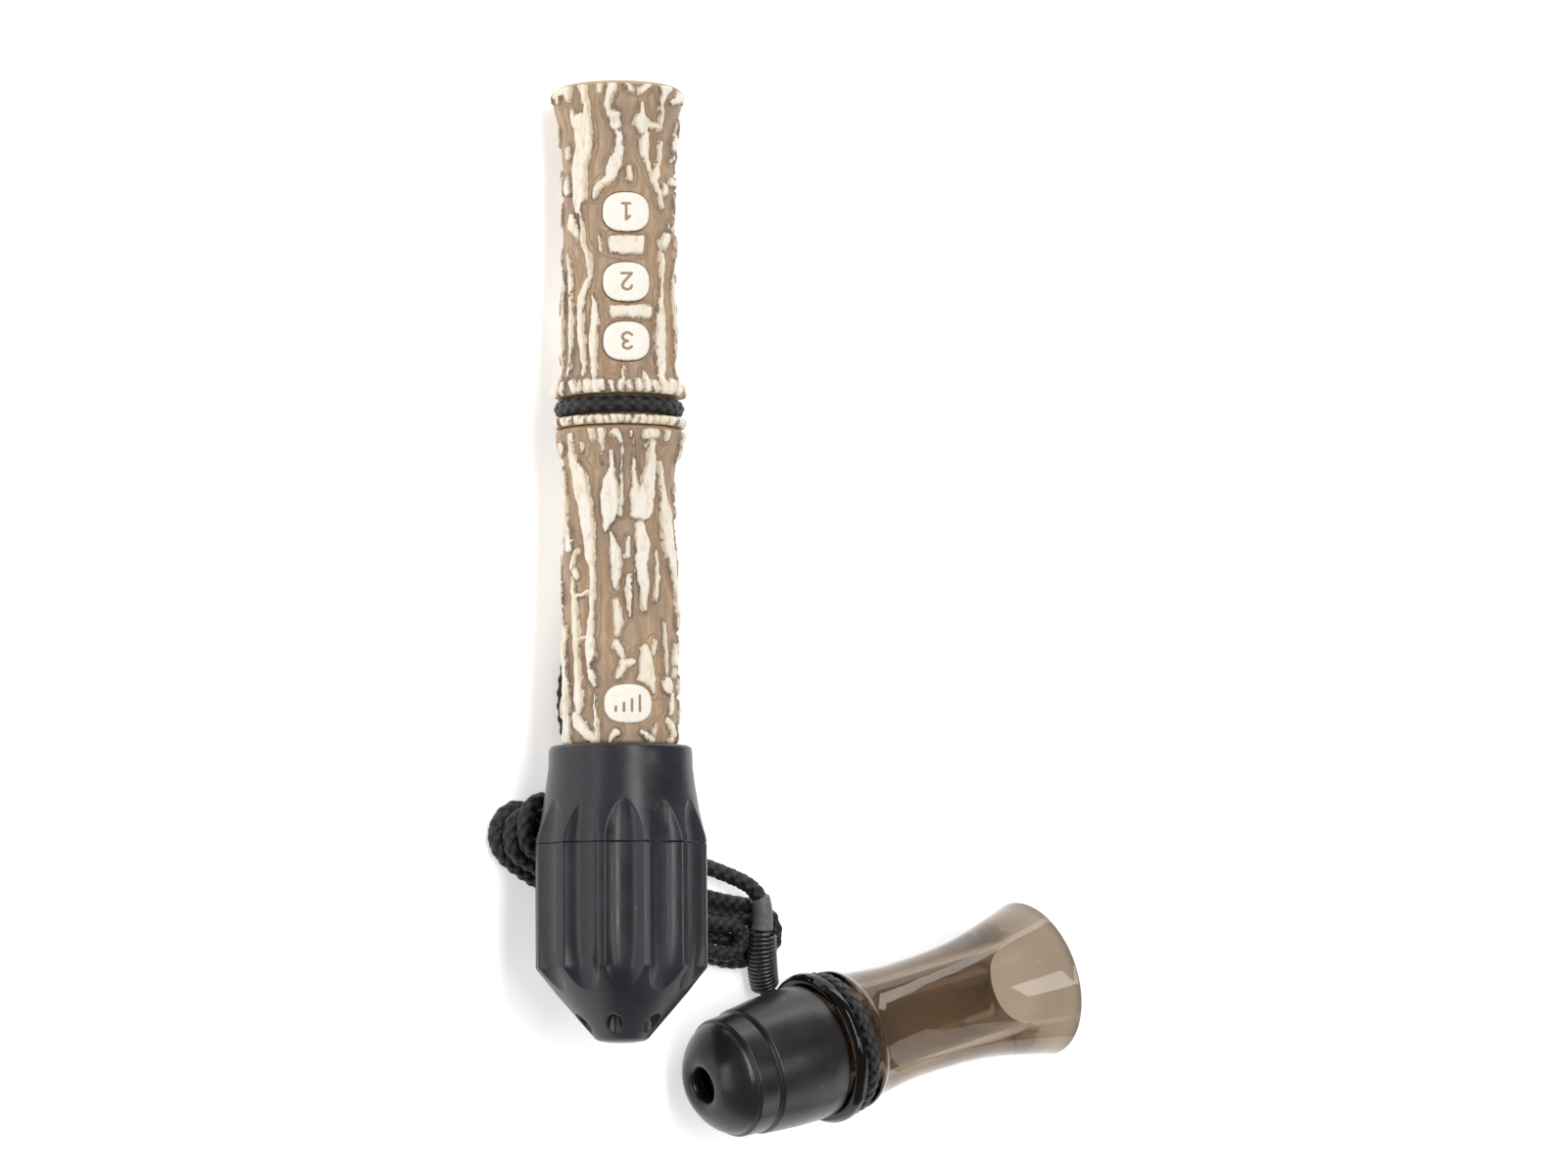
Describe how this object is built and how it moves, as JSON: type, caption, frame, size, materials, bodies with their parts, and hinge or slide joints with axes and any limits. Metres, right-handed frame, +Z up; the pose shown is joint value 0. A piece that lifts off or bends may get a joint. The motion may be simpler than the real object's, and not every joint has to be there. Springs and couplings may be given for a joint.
{
  "type": "deer call set",
  "caption": "Antler-look grunt call with press-in tone buttons and a turning fluted rubber volume end, joined by a hanked braided lanyard to a small smoke bleat horn.",
  "frame": {"origin": "on the table under the middle of the two calls' common box, without the lanyard", "axes": "+X runs along the grunt call from its mouth end towards its rubber volume end (seen from above its axis is turned 2.4 degrees from +X), +Y points from the grunt call towards the bleat horn, +Z is up from the table the set lies on"},
  "size_m": [0.2176, 0.1366, 0.0427],
  "materials": {
    "antler": "cream raised ridges over brown wiped recesses, satin",
    "button": "cream wiped over brown, satin",
    "grip_rubber": "dark grey moulded rubber, satin",
    "mouth_rubber": "black moulded rubber, smoother and glossier than the grip",
    "smoke_plastic": "smoke brown clear plastic, polished",
    "black_plastic": "black moulded plastic",
    "reed_film": "thin polyester reed",
    "cork": "cork",
    "seal_rubber": "black O-ring rubber",
    "silicone": "soft grey silicone",
    "cord": "black braided cord with a few pale flecks",
    "shrink_tube": "dark grey heat-shrink tube",
    "spring_wire": "blackened spring wire",
    "tie": "black plastic-covered twist tie"
  },
  "bodies": {
    "call_body": {"mouth_barrel": "antler", "button_membrane": "silicone", "tone_board": "black_plastic", "reed": "reed_film", "reed_wedge": "cork", "tone_board_seal": "seal_rubber", "barrel_seal": "seal_rubber", "lower_barrel": "antler", "volume_friction_ring": "seal_rubber", "tone_chamber": "black_plastic", "main_loop": "cord", "bleat_loop": "cord", "main_shrink_sleeve": "shrink_tube", "lanyard_lead": "cord", "lanyard_hank": "cord", "hank_tie": "tie", "call_drop": "cord", "call_shrink_sleeve": "shrink_tube", "cinch_spring": "spring_wire", "bleat_loop_leg": "cord"},
    "fawn_push": {"fawn_button": "button"},
    "doe_push": {"doe_button": "button"},
    "young_buck_push": {"young_buck_button": "button"},
    "volume_end": {"volume_collar": "grip_rubber", "volume_bell": "grip_rubber"},
    "bleat_call": {"bleat_horn": "smoke_plastic", "bleat_mouthpiece": "mouth_rubber", "bleat_tone_board": "black_plastic", "bleat_reed": "reed_film", "bleat_reed_wedge": "cork", "bleat_seal": "seal_rubber"}
  },
  "joints": [
    {"name": "fawn_press", "type": "slide", "parent": "call_body", "child": "fawn_push", "axis": [0.0786, 0.449, -0.8901], "range_m": [0, 0.0015], "stiffness_N_per_m": 900, "deforming": ["button_membrane", "reed"]},
    {"name": "doe_press", "type": "slide", "parent": "call_body", "child": "doe_push", "axis": [0.0786, 0.449, -0.8901], "range_m": [0, 0.0015], "stiffness_N_per_m": 900, "deforming": ["button_membrane", "reed"]},
    {"name": "young_buck_press", "type": "slide", "parent": "call_body", "child": "young_buck_push", "axis": [0.0786, 0.449, -0.8901], "range_m": [0, 0.0015], "stiffness_N_per_m": 900, "deforming": ["button_membrane", "reed"]},
    {"name": "volume_turn", "type": "hinge", "parent": "call_body", "child": "volume_end", "pos_m": [0.05665, -0.0492, 0.02423], "axis": [0.9969, -0.0417, 0.067], "range_deg": [0, 30]},
    {"name": "bleat_swivel", "type": "hinge", "parent": "call_body", "child": "bleat_call", "pos_m": [0.09124, 0.00714, 0.01621], "axis": [-0.2128, 0.977, 0.0138], "continuous": true}
  ]
}
